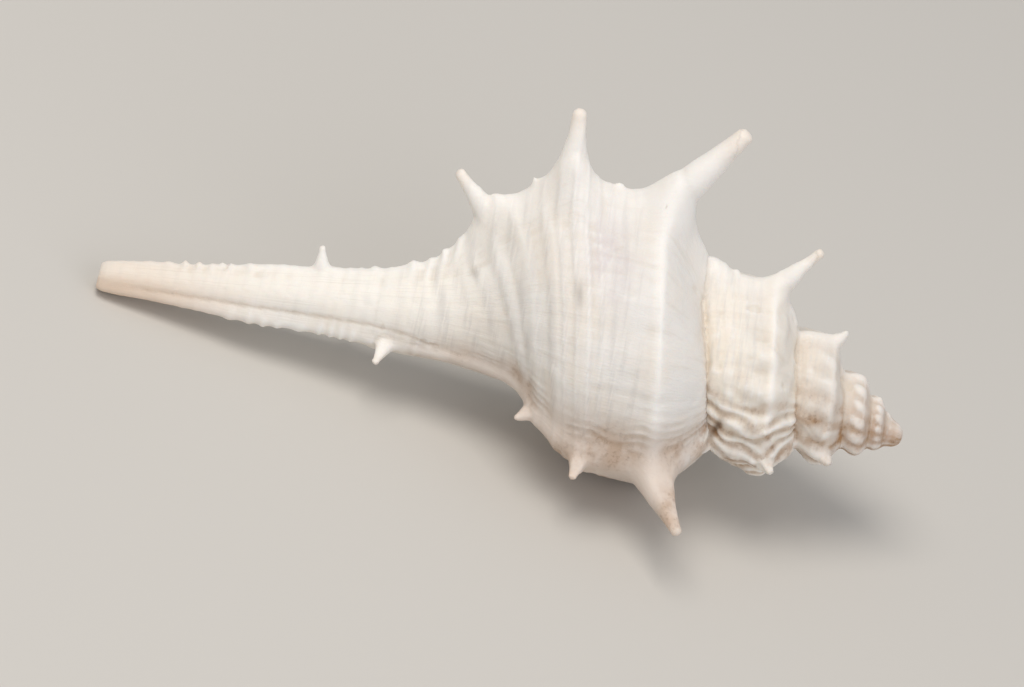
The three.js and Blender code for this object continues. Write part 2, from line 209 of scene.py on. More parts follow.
BORE_FROM = 34.8
BORE_CENTRED = 46
BORE_SIDE = 5.0
BORE_TURN = 0.03
BORE_SHARE = 0.5
BORE_SIDES = 24
BORE_STEPS = 60
SLIT_TURN = 0.2
SLIT_WIDTH = 0.8
SLIT_WIDTH_AT_MOUTH = 2.6
PAST_TIP = 0.8
PAST_WALL = 3

LAST_WHORL_STEPS = 54
SPIRE_STEPS = 36
LAST_WHORL_POINTS = 140
SPIRE_POINTS = 80
CANAL_SIDES = 90
CANAL_RINGS = 90

# How the shell lies: how far what is uppermost is from the lip's turn, and how far the spire dips
REST_ROLL = math.radians(-12.09)
REST_PITCH = math.radians(4.97)

VOXEL = 0.2
SMOOTHING_ROUNDS = 8
PULLED_IN = 0.5
PUSHED_OUT = -0.52
FOOT_ROUNDS = 24  # the feet of the spines are smoothed more, over this much round them
FOOT_SPREAD = 1.6
FOOT_ENDS = (0.12, 0.32)  # along a spine, as shares of its length
ERODED_FROM = 1.45  # turns before the lip from which the spire is worn round
ERODED_OVER = 0.5
ERODED_ROUNDS = 14
ERODED_TO_REACH = (0.02, 0.12)  # along a spine, past which its shape is kept
MOST_TRIANGLES = 196000
SEED = 11
WAVE_COUNT = 28
WAVE_SPREAD = (0.6, 1.4)

# A point is on the whorl whose outline it is nearest to, with costs against the older whorls and
# against what is above the suture or past the lip
DOWN_AT_MOST = 200.0
HALVINGS = 34
OLDER_COST = 0.03
ABOVE_SUTURE_COST = 10
PAST_LIP_COST = 1000
SUTURE_SLACK = 0.4
TURN_SLACK = 0.01

# Spans: each begins between its first two values and ends between its last two
THREADED_DOWNS = (26.2, 27.6, 39.5, 41.5)
SCALED_DOWNS = (39, 43, 62, 68)
FURROWED_DOWNS = (37.5, 41, 64, 68.5)
TOOTHED_TURNS = (-0.075, -0.03, 0.0, 0.012)
CALLUS_TURNS = (-0.004, 0.01, 0.1, 0.2)
FLANK_TURNS = (0.24, 0.33, 0.44, 0.56)  # before the lip
FLANK_DOWNS = (20.6, 23, 40, 46)
RAMP_DOWNS = (20.8, 21.6, 24.2, 25.0)
UNDER_KEEL_DOWNS = (26.0, 26.8, 29, 31)

# Changes from one thing to another, each between two values
SPIRE_TURNS = (0.75, 1.3)  # before the lip
OLD_TURNS = (1.6, 2.2)  # before the lip
LIP_EDGE_TURNS = (0.0, 0.02)
# Over these turns the hollow's lining darkens inwards, as painted shade
DEPTH_TURNS = (0.0, 0.3)  # before the lip
OUTER_SHARES = (0.7, 0.85)
BODY_ENDS = (43, 47)
SUTURE_ENDS = (20.6, 22.2)

# Fine relief, in millimetres on the last whorl and smaller with the older ones
BELLY_ROUND = 2 * math.pi * 12.8
THREAD_SPACING = 1.15
THREAD_HEIGHT = 0.06
THREAD_STRETCH = (0.06, 0.5)
GROWTH_FINE = 0.012
GROWTH_FINE_STRETCH = (1, 0.12)
GROWTH_COARSE = 0.022
GROWTH_COARSE_STRETCH = (1, 0.08)
FRILL_HEIGHT = 0.16
FRILL_SPACING = 1.0
FRILL_STRETCH = (0.2, 1)
FRILLS_BEHIND = 0.05
FRILLS_AHEAD = 0.045
FRILLS_WIDTH = 0.03
FRILLS_BEGIN_TURNS = (-1.0, -0.85)
FRILLS_FADE_TURNS = (-0.2, -0.1)
FRILLS_FADED = 0.2
SCALE_HEIGHT = 0.4
SCALE_SPACING = 1.4
SCALES_WIDTH = 0.04
SCALES_SHIFT = 0.6  # from one ridge to the next
SCALES_BEHIND_LIP = 0.4
RIB_HEIGHT = 0.035
FURROW_WIDTH = 0.17
FURROW_DEPTH = 0.08
FURROW_TURNS = (-0.31, -0.26)
FURROW_BEND_DOWNS = (38, 46)
LUMP_HEIGHT = 0.6
LUMP_DOWN = 29
LUMP_WIDTH = 3.5
LAMELLA_HEIGHT = 0.3
LAMELLA_SPACING = 2.3
LAMELLA_TURN = -0.36
LAMELLA_SIDE = (0.45, 0.85)
LAMELLAE_FADE_TURNS = (1.5, 2.4)  # before the lip
LAMELLAE_FADED = 0.2
LAMELLA_BULGE = 1.6
LAMELLA_BULGE_DOWN = 29.5
LAMELLA_BULGE_WIDTH = 4
TOOTH_HEIGHT = 0.45
TEETH_ROUND = 22
TOOTHED_ACROSS = (0.5, 2.5)
CALLUS_HEIGHT = 0.3
CALLUS_FROM = 18
CALLUS_ACROSS = (0.5, 3)
CALLUS_EDGE = (1.2, 1.75)
WEAR_BROAD = 0.09
WEAR_MIDDLE = (0.02, 0.09)  # on the last whorl and on the spire
WEAR_SMALL = (0.008, 0.05)
PIT_DEPTH = 0.16
PIT_SHARE = (0.25, 1)
PIT_EDGE = (1.5, 2.3)

# Small marks: down, turn, half their length and width, and their slant from round the coil
# towards the canal in degrees
SPOTS = [(33.2, -0.136, 1.0, 0.35, 0), (40.4, -0.072, 0.5, 0.25, 0)]
HOLES = [(34.6, -1.298, 1.2, 0.25, -25)]
SPOT_DEPTH = 0.06
SPOT_DARKNESS = 0.3
HOLE_DEPTH = 0.25
HOLE_DARKNESS = 0.65

# Where the colours go, and how strong the stains, the painted shade and the painted highlights are
# in each kind of place
LOWER_TURN = -0.42  # the middle of the lower side, towards which the stains and tints grow stronger, partly as painted shade
NEAR_ROUNDS = 12
BROAD_ROUNDS = 60
DIPS = (0.02, 0.2)
CREVICES = (0.005, 0.05)
CREST_WEAR_AND_HIGHLIGHTS = (0.015, 0.08)
DIP_STAIN = 0.8
SUTURE_STAIN = 0.6
FLANK_STAIN_AND_SHADE = 0.55
SPIRE_STAIN = 0.35
BETWEEN_KNOBS_STAIN_AND_SHADE = 0.7
BETWEEN_LAMELLAE_STAIN = 0.55
# How much darker the canal's furrow is made
FURROW_DARKENING = 0.12
VARIX_WHITE = 0.8
VARIX_WHITE_WIDTH = 0.03
OLD_WHITE = 0.8
SPINE_TIP_TAN = 0.35
SPINE_TIP_REACH = (0.55, 1)
CANAL_TAN_DOWNS = (53, 68)
CREAM_DOWNS = (33, 43)
APEX_DOWNS = (2.5, 7.5)
BANDS_FROM = (26, 28)
BANDS_FADE_DOWNS = (42, 46)
LILAC_TURN = -0.09
LILAC_TURNS = 0.05
LILAC_DOWN = 30.3
LILAC_WIDTH = 2.1

# Camera at the photograph's viewing angle
VIEW_AZIMUTH = math.radians(-7.6)
VIEW_ELEVATION = math.radians(34.9)
VIEW_ROLL = math.radians(22.7)
LENS = 180
SENSOR = 36
FRAME_WIDTH = 0.0856  # metres that the picture takes in
AIM = (-0.00197, -0.00501)  # metres to the right of and above the middle of the shell's box
FLOOR_SIDE = 6.0
WORLD_STRENGTH = 0.5


def mix(a, b, share):
    return a + (b - a) * share


def between(start, end, value):
    """0 before start, 1 past end, and an even rise from one to the other."""
    share = np.clip((value - start) / (end - start), 0, 1)
    return share**2 * (3 - 2 * share)


def within(span, value):
    """1 in the middle of a span and 0 outside it."""
    return between(*span[:2], value) * (1 - between(*span[2:], value))


def bump(distance):
    return np.exp(-(distance**2))


def lean_at(down):
    """How far the shell leans away from the lip: nothing in the middle and more to both ends."""
    of_canal = CANAL_LEAN * np.maximum(0, (down - LEAN_FROM) / (CANAL_TIP - LEAN_FROM))
    return of_canal + SPIRE_LEAN * np.maximum(0, 1 - down / SPIRE_LEAN_FROM)


def place(down, out, turn):
    down, out, turn = np.broadcast_arrays(down, out, turn)
    angle = 2 * np.pi * turn
    return np.stack([-down, out * np.sin(angle), out * np.cos(angle) - lean_at(down)], -1)


def direction_at(turn):
    """Straight out from the axis at a turn."""
    return np.array([0, math.sin(2 * math.pi * turn), math.cos(2 * math.pi * turn)])


def smooth_outline():
    points = np.array(OUTLINE)
    padded = np.vstack([points[:1], points, points[-1:]])
    slopes = (padded[2:] - padded[:-2]) / 2
    share = np.linspace(0, len(points) - 1, OUTLINE_SAMPLES)
    start = np.minimum(share.astype(int), len(points) - 2)
    t = (share - start)[:, None]
    a, b = points[start], points[start + 1]
    leaving, arriving = slopes[start], slopes[start + 1]
    square = 3 * (b - a) - 2 * leaving - arriving
    cube = 2 * (a - b) + leaving + arriving
    return a + leaving * t + square * t**2 + cube * t**3


outline_curve = smooth_outline()


def outline_at(down):
    return np.interp(down, outline_curve[:, 0], outline_curve[:, 1])


def past_varix(turn):
    """The nearest varix, 0 at the lip and less before it, and how far past it this turn is."""
    varix = np.round(turn * VARICES_PER_WHORL)
    return varix, turn - varix / VARICES_PER_WHORL


def varix_at(down, turn, webbed):
    varix, past = past_varix(turn)
    height = np.where(varix == 0, LIP_HEIGHT, VARIX_HEIGHT) + webbed * web_at(down, -varix)
    on_neck = mix(1, VARIX_ON_NECK, between(VARIX_FADES_FROM, OUTLINE_TO, down))
    return height * on_neck * bump(past / np.where(past < 0, VARIX_BACK, VARIX_FRONT))


def web_at(down, varix):
    """How much higher the varix stands at the feet of its spines and where it meets the lip."""
    total = (varix == JOIN_VARIX) * JOIN_HEIGHT * bump((down - JOIN_DOWN) / JOIN_WIDTH)
    for of_varix, foot, length, *_ in SPINES:
        height = WEB_HEIGHT * min(1, length / WEB_FULL_LENGTH) ** 2
        total = total + (varix == of_varix) * height * bump((down - foot) / WEB_WIDTH)
    return total


def relief(down, turn):
    cords = sum(height * bump((down - at) / width) for at, height, width in CORDS)
    wave = np.cos(2 * np.pi * turn * VARICES_PER_WHORL * (KNOBS_PER_VARIX + 1))
    faded = between(KNOBS_FADE_FROM_TURN, KNOBS_FADE_TO_TURN, turn)
    knob = mix(KNOB_HEIGHT, KNOB_HEIGHT_LAST_WHORL, faded) * (0.5 + 0.5 * wave)
    return cords + knob * bump((down - KEEL_DOWN - KNOB_BELOW_KEEL) / KNOB_LENGTH)


def surface(down, turn, webbed=True):
    """The outer surface. down is at the last whorl's size, and the answer at the turn's own."""
    on_neck = between(NECK_FROM, OUTLINE_TO, down)
    rise = outline_at(down + SLOPE_SPAN / 2) - outline_at(down - SLOPE_SPAN / 2)
    slope = rise / SLOPE_SPAN
    varix = varix_at(down, turn, webbed) / np.hypot(slope, 1)
    own_down = (down - slope * varix) * mix(DOWN_RATIO**-turn, 1, on_neck)
    own_out = (outline_at(down) + relief(down, turn) + varix) * mix(OUT_RATIO**-turn, 1, on_neck)
    return own_down, own_out


def canal_share(down):
    return (down - OUTLINE_TO) / (CANAL_TIP - OUTLINE_TO)


def canal_radius(down):
    return mix(CANAL_TOP_RADIUS, CANAL_TIP_RADIUS, np.maximum(0, canal_share(down)))


def solid(name, rings, cap):
    """A closed object through rings of as many points each, with its ends closed by cap."""
    ring_count, points = rings.shape[:2]
    index = np.arange(ring_count * points).reshape(ring_count, points)
    onward = np.roll(index, -1, 1)
    walls = np.stack([index[:-1], onward[:-1], onward[1:], index[1:]], -1).reshape(-1, 4)
    ends = cap(index[0])
    far_ends = [face[::-1] for face in cap(index[-1])]
    faces = walls.tolist() + far_ends + ends
    mesh = bpy.data.meshes.new(name)
    mesh.from_pydata(rings.reshape(-1, 3).tolist(), [], faces)
    body = bmesh.new()
    body.from_mesh(mesh)
    if body.calc_volume(signed=True) < 0:
        bmesh.ops.reverse_faces(body, faces=body.faces)
    bmesh.ops.triangulate(body, faces=body.faces)
    body.to_mesh(mesh)
    body.free()
    made = bpy.data.objects.new(name, mesh)
    bpy.context.scene.collection.objects.link(made)
    return made


def round_cap(ring):
    return [ring[::-1].tolist()]


def strip_cap(ring):
    """Faces between the first half of a ring and its second half, which runs back beside it."""
    half = len(ring) // 2
    near, far = ring[:half], ring[half:][::-1]
    return [[near[i + 1], near[i], far[i], far[i + 1]] for i in range(half - 1)]


def coiled_body():
    """The body in stretches of a third of a turn, each reaching one section into the next."""
    stretches = []
    for varix in range(1, WHORLS * VARICES_PER_WHORL + 1):
        on_last_whorl = varix <= VARICES_PER_WHORL
        steps = LAST_WHORL_STEPS if on_last_whorl else SPIRE_STEPS
        turns = (np.arange(steps + 2) / steps - varix) / VARICES_PER_WHORL
        if varix == 1:
            turns[-1] = LIP_TURN
        points = LAST_WHORL_POINTS if on_last_whorl else SPIRE_POINTS
        downs = np.linspace(OUTLINE_FROM, OUTLINE_TO, points)
        own_down, own_out = surface(downs[None, :], turns[:, None])
        outer = place(own_down, own_out, turns[:, None])
        inner = place(own_down, own_down * CORE_SHARE, turns[:, None])[:, ::-1]
        rings = np.concatenate([outer, inner], 1)
        stretches.append(solid("stretch", rings, strip_cap))
    return stretches


def tube(name, centres, radii, sides):
    """A solid with round sections that all face along the axis."""
    angles = 2 * np.pi * np.arange(sides) / sides
    circle = np.stack([np.zeros(sides), np.sin(angles), np.cos(angles)], -1)
    rings = centres[:, None, :] + circle[None] * radii[:, None, None]
    return solid(name, rings, round_cap)


def core():
    angles = np.radians(np.linspace(*APEX_DEGREES, APEX_RINGS))
    dome_downs = APEX_TOP + APEX_RADIUS * (1 - np.cos(angles))
    downs = np.concatenate([dome_downs, [CORE_FROM, OUTLINE_TO]])
    radii = np.concatenate([APEX_RADIUS * np.sin(angles), [CORE_RADIUS, CORE_RADIUS]])
    return tube("core", place(downs, 0, 0), radii, CORE_SIDES)


def canal():
    downs = np.linspace(OUTLINE_TO - CANAL_OVERLAP, CANAL_TIP, CANAL_RINGS)[:, None]
    turns = np.arange(CANAL_SIDES)[None, :] / CANAL_SIDES
    fading = between(RIDGE_FADES_FROM, 1, canal_share(downs))
    height = CANAL_RIDGE * mix(1, CANAL_RIDGE_AT_TIP, fading)
    across = np.maximum(0, np.cos(2 * np.pi * turns * VARICES_PER_WHORL))
    out = canal_radius(downs) + height * across**RIDGE_SHARPNESS
    out = out * (1 - TIP_ROUNDED * between(CANAL_TIP - TIP_ROUNDED_OVER, CANAL_TIP, downs) ** 2)
    return solid("canal", place(downs, out, turns), round_cap)


def spine_line(base, entry):
    """The middle of a spine at any reach along it, and its directions: onward and to two sides."""
    varix, _, length, lean, _, _ = entry
    turn = -varix / VARICES_PER_WHORL
    tilt = math.radians(lean)
    onward = math.cos(tilt) * direction_at(turn) + np.array([math.sin(tilt), 0, 0])
    mouthward = direction_at(turn + QUARTER_TURN)
    sideways = np.cross(onward, mouthward)

    def centre(reach):
        curl = SPINE_CURL * length * np.maximum(0, reach / length) ** 2
        return base + np.outer(reach, onward) + np.outer(curl, mouthward)

    return centre, onward, mouthward, sideways


def spine(base, entry):
    _, _, length, _, base_radius, tip = entry
    centre, _, mouthward, sideways = spine_line(base, entry)
    share = np.linspace(0, 1, SPINE_RINGS)
    shaft_reach = (length - tip * TIP_REACH) * share
    shaft_radius = mix(tip, base_radius, (1 - share) ** SPINE_FLARE)
    rounding = np.linspace(0, np.pi / 2, SPINE_TIP_RINGS + 2)[1:-1]
    tip_reach = length - tip * TIP_REACH * (1 - np.sin(rounding))
    reach = np.concatenate([[-base_radius], shaft_reach, tip_reach])
    radius = np.concatenate([[base_radius], shaft_radius, tip * np.cos(rounding)])
    angles = 2 * np.pi * np.arange(SPINE_SIDES) / SPINE_SIDES
    from_groove = np.minimum(angles, 2 * np.pi - angles)
    kept = 1 - SPINE_GROOVE * bump(from_groove / SPINE_GROOVE_WIDTH)
    circle = np.outer(np.cos(angles), mouthward) + np.outer(np.sin(angles), sideways)
    rings = centre(reach)[:, None, :] + radius[:, None, None] * (kept[:, None] * circle)[None]
    return solid("spine", rings, round_cap)


def spine_bases():
    """Where each spine starts, with its entry."""
    bases = []
    for entry in SPINES:
        turn = -entry[0] / VARICES_PER_WHORL
        down, out = surface(entry[1], turn, webbed=False)
        bases.append((place(down, out - SPINE_SINK, turn), entry))
    for entry in CANAL_SPINES:
        turn = -entry[0] / VARICES_PER_WHORL
        bases.append((place(entry[1], canal_radius(entry[1]), turn), entry))
    return bases


def mouth_flare(turn):
    """How much wider the hollow is, which is only near the lip."""
    opened = between(0, 1, (turn - MOUTH_FLARE_FROM_TURN) / MOUTH_FLARE_TURNS)
    return mix(1, MOUTH_FLARE, opened)


def hollow():
    share = np.linspace(0, 1, HOLLOW_STEPS)
    turns = mix(-HOLLOW_TURNS, PAST_LIP_TURN, share)[:, None]
    closing = np.interp(share, BLIND_END_SHARES, BLIND_END)[:, None]
    flare = closing * mouth_flare(turns)
    angles = 2 * np.pi * np.arange(HOLLOW_SIDES)[None, :] / HOLLOW_SIDES
    along = HOLLOW_HALF_DOWN * np.cos(angles) * flare
    across = HOLLOW_HALF_OUT * np.sin(angles) * flare
    down = HOLLOW_DOWN + along * math.cos(HOLLOW_TILT) + across * math.sin(HOLLOW_TILT)
    out = HOLLOW_OUT - along * math.sin(HOLLOW_TILT) + across * math.cos(HOLLOW_TILT)
    age = np.minimum(turns, 0)
    return solid("hollow", place(down * DOWN_RATIO**-age, out * OUT_RATIO**-age, turns), round_cap)


def canal_groove():
    """The canal's bore, and the slit that opens it all the way down."""
    downs = np.linspace(BORE_FROM, CANAL_TIP + PAST_TIP, BORE_STEPS)
    centred = between(BORE_FROM, BORE_CENTRED, downs)
    centres = place(downs, BORE_SIDE * (1 - centred), BORE_TURN)
    bore = tube("bore", centres, canal_radius(downs) * BORE_SHARE, BORE_SIDES)
    half_width = mix(SLIT_WIDTH_AT_MOUTH, SLIT_WIDTH, centred)[:, None] / 2
    half = half_width * direction_at(SLIT_TURN + QUARTER_TURN)
    far = centres + (canal_radius(downs) + PAST_WALL)[:, None] * direction_at(SLIT_TURN)
    rings = np.stack([centres - half, far - half, far + half, centres + half], 1)[1:]
    return [bore, solid("slit", rings, round_cap)]


def combine(body, others, operation):
    """Joins other solids to a body, or cuts them out of it."""
    group = bpy.data.collections.new(operation)
    for other in others:
        group.objects.link(other)
    modifier = body.modifiers.new(operation, "BOOLEAN")
    modifier.operation = operation
    modifier.solver = "MANIFOLD"
    modifier.operand_type = "COLLECTION"
    modifier.collection = group


def taken_as_mesh(made):
    """The object's mesh with its modifiers applied."""
    graph = bpy.context.evaluated_depsgraph_get()
    return bpy.data.meshes.new_from_object(made.evaluated_get(graph))


def largest_part(mesh):
    """Deletes all but the largest connected part of a mesh."""
    body = bmesh.new()
    body.from_mesh(mesh)
    unseen = set(body.verts)
    parts = []
    while unseen:
        front = [unseen.pop()]
        part = list(front)
        while front:
            near = {edge.other_vert(v) for v in front for edge in v.link_edges} & unseen
            unseen -= near
            front = list(near)
            part += front
        parts.append(part)
    parts.sort(key=len)
    for part in parts[:-1]:
        bmesh.ops.delete(body, geom=part, context="VERTS")
    body.to_mesh(mesh)
    body.free()


def grown_mesh():
    bases = spine_bases()
    stretches = coiled_body()
    others = stretches[1:] + [core(), canal()] + [spine(base, entry) for base, entry in bases]
    cuts = [hollow(), *canal_groove()]
    body = stretches[0]
    combine(body, others, "UNION")
    combine(body, cuts, "DIFFERENCE")
    remesh = body.modifiers.new("even", "REMESH")
    remesh.mode = "VOXEL"
    remesh.voxel_size = VOXEL
    mesh = taken_as_mesh(body)
    for made in [body, *others, *cuts]:
        bpy.data.objects.remove(made)
    for group in list(bpy.data.collections):
        bpy.data.collections.remove(group)
    largest_part(mesh)
    return mesh


def points_of(mesh):
    points = np.empty(len(mesh.vertices) * 3)
    mesh.vertices.foreach_get("co", points)
    return points.reshape(-1, 3)


def set_points(mesh, points):
    mesh.vertices.foreach_set("co", points.ravel())
    mesh.update()


def normals_of(mesh):
    normals = np.empty(len(mesh.vertices) * 3, np.float32)
    mesh.vertex_normals.foreach_get("vector", normals)
    return normals.reshape(-1, 3).astype(float)


def edges_of(mesh):
    edges = np.empty(len(mesh.edges) * 2, np.int64)
    mesh.edges.foreach_get("vertices", edges)
    return edges.reshape(-1, 2)


def averaged(values, edges):
    """Each point's value taken as the mean of its neighbours'."""
    ends = np.concatenate([edges[:, 0], edges[:, 1]])
    others = np.concatenate([edges[:, 1], edges[:, 0]])
    count = np.bincount(ends, minlength=len(values))
    columns = values.reshape(len(values), -1)
    sums = [np.bincount(ends, column[others], len(values)) for column in columns.T]
    return (np.stack(sums, -1) / count[:, None]).reshape(values.shape)


def smoothed(values, edges, rounds, share=0.5):
    for _ in range(rounds):
        values = mix(values, averaged(values, edges), share)
    return values


def evened(points, edges, rounds):
    """Smooths without thinning what is narrow: each round pulls in and then pushes out again."""
    for _ in range(rounds):
        points = smoothed(points, edges, 1, PULLED_IN)
        points = smoothed(points, edges, 1, PUSHED_OUT)
    return points


def spine_feet(points):
    """1 round the foot of each spine, where it grows out of the shell, and 0 away from there."""
    feet = np.zeros(len(points))
    for base, entry in spine_bases():
        _, _, length, _, base_radius, _ = entry
        _, onward, _, _ = spine_line(base, entry)
        along = (points - base) @ onward
        aside = np.linalg.norm(points - base - np.outer(along, onward), axis=1)
        round_it = 1 - between(base_radius + FOOT_SPREAD / 2, base_radius + FOOT_SPREAD, aside)
        below_tip = 1 - between(*FOOT_ENDS, along / length)
        feet = np.maximum(feet, round_it * below_tip * (along > -2 * FOOT_SPREAD))
    return feet


def waves(points, length, seed):
    """A smooth random field over points, about 1 high, with features of that length."""
    rng = np.random.default_rng(SEED + seed)
    total = np.zeros(len(points))
    for _ in range(WAVE_COUNT):
        way = rng.normal(size=points.shape[1])
        way *= rng.uniform(*WAVE_SPREAD) * np.pi / (np.linalg.norm(way) * length)
        total += np.cos(points @ way + rng.uniform(0, 2 * np.pi))
    return total * math.sqrt(2 / WAVE_COUNT)


def down_at_lip_size(down, turn):
    """The down that surface() would take to reach this one at this turn."""
    low = np.zeros_like(down)
    high = np.full_like(down, DOWN_AT_MOST)
    for _ in range(HALVINGS):
        middle = (low + high) / 2
        on_neck = between(NECK_FROM, OUTLINE_TO, middle)
        too_far = middle * mix(DOWN_RATIO**-turn, 1, on_neck) > down
        high = np.where(too_far, middle, high)
        low = np.where(too_far, low, middle)
    return (low + high) / 2


def places_of(points):
    """For each point of the shell, where on it that is."""
    own_down = -points[:, 0]
    sideways, upwards = points[:, 1], points[:, 2] + lean_at(own_down)
    own_out = np.hypot(sideways, upwards)
    fraction = np.arctan2(sideways, upwards) / (2 * np.pi)
    least = np.full(len(points), np.inf)
    turn = np.zeros(len(points))
    down = np.zeros(len(points))
    for whorl in range(WHORLS + 1):
        tried = fraction - whorl
        tried_down = down_at_lip_size(own_down, tried)
        on_neck = between(NECK_FROM, OUTLINE_TO, tried_down)
        expected = outline_at(tried_down) * mix(OUT_RATIO**-tried, 1, on_neck)
        above_suture = np.maximum(0, OUTLINE_FROM - SUTURE_SLACK - tried_down)
        past_lip = tried > LIP_TURN + TURN_SLACK
        error = np.abs(own_out - expected) + OLDER_COST * whorl
        error += ABOVE_SUTURE_COST * above_suture + PAST_LIP_COST * past_lip
        nearer = error < least
        least = np.where(nearer, error, least)
        turn = np.where(nearer, tried, turn)
        down = np.where(nearer, tried_down, down)
    size = mix(OUT_RATIO**-turn, 1, between(NECK_FROM, OUTLINE_TO, down))
    return SimpleNamespace(
        points=points, own_down=own_down, own_out=own_out, fraction=fraction,
        turn=turn, down=down, size=size,
    )


def hollow_places(at):
    """How far round the hollow's oval and how deep in it each point is, if it is in it."""
    turn = np.where(at.fraction > PAST_LIP_TURN + TURN_SLACK, at.fraction - 1, at.fraction)
    age = np.minimum(turn, 0)
    down = at.own_down * DOWN_RATIO**age - HOLLOW_DOWN
    out = at.own_out * OUT_RATIO**age - HOLLOW_OUT
    along = down * math.cos(HOLLOW_TILT) - out * math.sin(HOLLOW_TILT)
    across = down * math.sin(HOLLOW_TILT) + out * math.cos(HOLLOW_TILT)
    oval = np.hypot(along / HOLLOW_HALF_DOWN, across / HOLLOW_HALF_OUT)
    angle = np.arctan2(across / HOLLOW_HALF_OUT, along / HOLLOW_HALF_DOWN)
    inside = 1 - between(*HOLLOW_WALL, oval / mouth_flare(turn))
    inside *= (turn > -HOLLOW_TURNS - BLIND_END_SLACK) & (turn < PAST_LIP_TURN + PAST_LIP_SLACK)
    return SimpleNamespace(turn=turn, oval=oval, angle=angle, inside=inside, across=across)


def crest(position, spacing, sharpness=2):
    """Even ridges 1 high, one to each spacing."""
    return (0.5 + 0.5 * np.cos(2 * np.pi * position / spacing)) ** sharpness


def cord_share(at):
    """1 on the crests of the main cords, and less beside them and on the low ones."""
    highest = max(height for _, height, _ in CORDS)
    return sum(
        bump((at.down - down) / width) * (height / highest) ** 2 for down, height, width in CORDS
    )


def threads(at):
    """Fine spiral threads between the keel and the neck."""
    uneven = 0.75 + 0.4 * waves(at.grain * THREAD_STRETCH, length=2, seed=1)
    height = THREAD_HEIGHT * within(THREADED_DOWNS, at.down) * uneven
    return height * crest(at.down, THREAD_SPACING, sharpness=3)


def growth_lines(at):
    fine = waves(at.grain * GROWTH_FINE_STRETCH, length=0.75, seed=2)
    coarse = waves(at.grain * GROWTH_COARSE_STRETCH, length=2.6, seed=3)
    return GROWTH_FINE * fine + GROWTH_COARSE * coarse


def lower_side(at):
    """1 on the side that the shell lies on, and -1 on the opposite one."""
    return np.cos(2 * np.pi * (at.fraction - LOWER_TURN))


def frills(at):
    """Scaly growth lines that stand up beside the varices of the last whorl."""
    varix, past = past_varix(at.turn)
    behind = bump((past + FRILLS_BEHIND) / FRILLS_WIDTH)
    ahead = (varix == -1) * bump((past - FRILLS_AHEAD) / FRILLS_WIDTH)
    wavering = 0.25 * waves(at.grain * FRILL_STRETCH, length=2.2, seed=4)
    lines = crest(past * BELLY_ROUND + wavering, FRILL_SPACING, sharpness=3)
    patches = waves(at.points, length=2.4, seed=9) + 0.5 * lower_side(at)
    broken = between(-0.6, 1.2, patches)
    faded = mix(1, FRILLS_FADED, between(*FRILLS_FADE_TURNS, at.turn))
    broken *= faded * between(*FRILLS_BEGIN_TURNS, at.turn)
    return FRILL_HEIGHT * np.maximum(behind, ahead) * lines * broken


def canal_scales(at):
    """Scales along the canal's three ridges, and faint ribs across it between them."""
    varix, past = past_varix(at.fraction)
    on_ridge = bump(past / SCALES_WIDTH)
    patches = waves(at.points, length=2.4, seed=10)
    broken = between(-0.9, 1.1, patches) * mix(1, SCALES_BEHIND_LIP, varix != 0)
    wavering = 0.3 * waves(at.own_down[:, None], length=4, seed=11)
    shifted = at.own_down + SCALES_SHIFT * varix + wavering
    scales = SCALE_HEIGHT * on_ridge * broken * crest(shifted, SCALE_SPACING, sharpness=2)
    ribs = RIB_HEIGHT * crest(shifted, SCALE_SPACING, sharpness=1)
    return within(SCALED_DOWNS, at.own_down) * (at.reach == 0) * (scales + ribs)


def canal_line(at):
    """1 in the thin furrow beside the ridge of varix 1, from the neck almost to the tip."""
    furrow_turn = mix(*FURROW_TURNS, between(*FURROW_BEND_DOWNS, at.own_down))
    aside = (at.fraction - furrow_turn) * 2 * np.pi * at.own_out
    return within(FURROWED_DOWNS, at.own_down) * bump(aside / FURROW_WIDTH)


def on_spire(at):
    return between(*SPIRE_TURNS, -at.turn)


def on_old_whorls(at):
    return between(*OLD_TURNS, -at.turn)


def worn(at):
    """Soft unevenness all over, rougher on the spire, with small pits there."""
    spire = on_spire(at)
    broad = WEAR_BROAD * waves(at.points, length=6, seed=5)
    middle = mix(*WEAR_MIDDLE, spire) * waves(at.points, length=1.9, seed=6)
    small = mix(*WEAR_SMALL, spire) * waves(at.points, length=0.8, seed=7)
    pitted = between(*PIT_EDGE, waves(at.points, length=1.0, seed=8))
    pits = -PIT_DEPTH * pitted * mix(*PIT_SHARE, spire)
    return broad + middle + small + pits


def spot_share(at, spots):
    """1 in the middle of small marks, and 0 away from them."""
    total = np.zeros(len(at.down))
    for down, turn, half_length, half_width, slant in spots:
        around = (at.turn - turn) * 2 * np.pi * outline_at(down) * OUT_RATIO**-turn
        downward = (at.down - down) * DOWN_RATIO**-turn
        cosine, sine = math.cos(math.radians(slant)), math.sin(math.radians(slant))
        along = around * cosine + downward * sine
        aside = downward * cosine - around * sine
        total = np.maximum(total, bump(np.hypot(along / half_length, aside / half_width)))
    return total


def lip_teeth(at):
    """Short knobs inside the outer lip."""
    outer_half = between(*TOOTHED_ACROSS, at.hollow.across)
    near_lip = within(TOOTHED_TURNS, at.hollow.turn)
    teeth = crest(at.hollow.angle, 2 * np.pi / TEETH_ROUND, sharpness=1.5)
    return TOOTH_HEIGHT * outer_half * near_lip * teeth


def callus_share(at):
    """1 on the smooth layer laid over the shell round the mouth's inner side."""
    facing = within(CALLUS_TURNS, at.fraction)
    near = 1 - between(*CALLUS_EDGE, at.hollow.oval)
    inner = 1 - between(*CALLUS_ACROSS, at.hollow.across)
    return facing * near * inner * (at.own_down > CALLUS_FROM) * (1 - at.hollow.inside)


def knob_wave(at):
    """1 on the knobs round each whorl and 0 between two of them."""
    return crest(at.turn * VARICES_PER_WHORL * (KNOBS_PER_VARIX + 1), 1, sharpness=0.7)


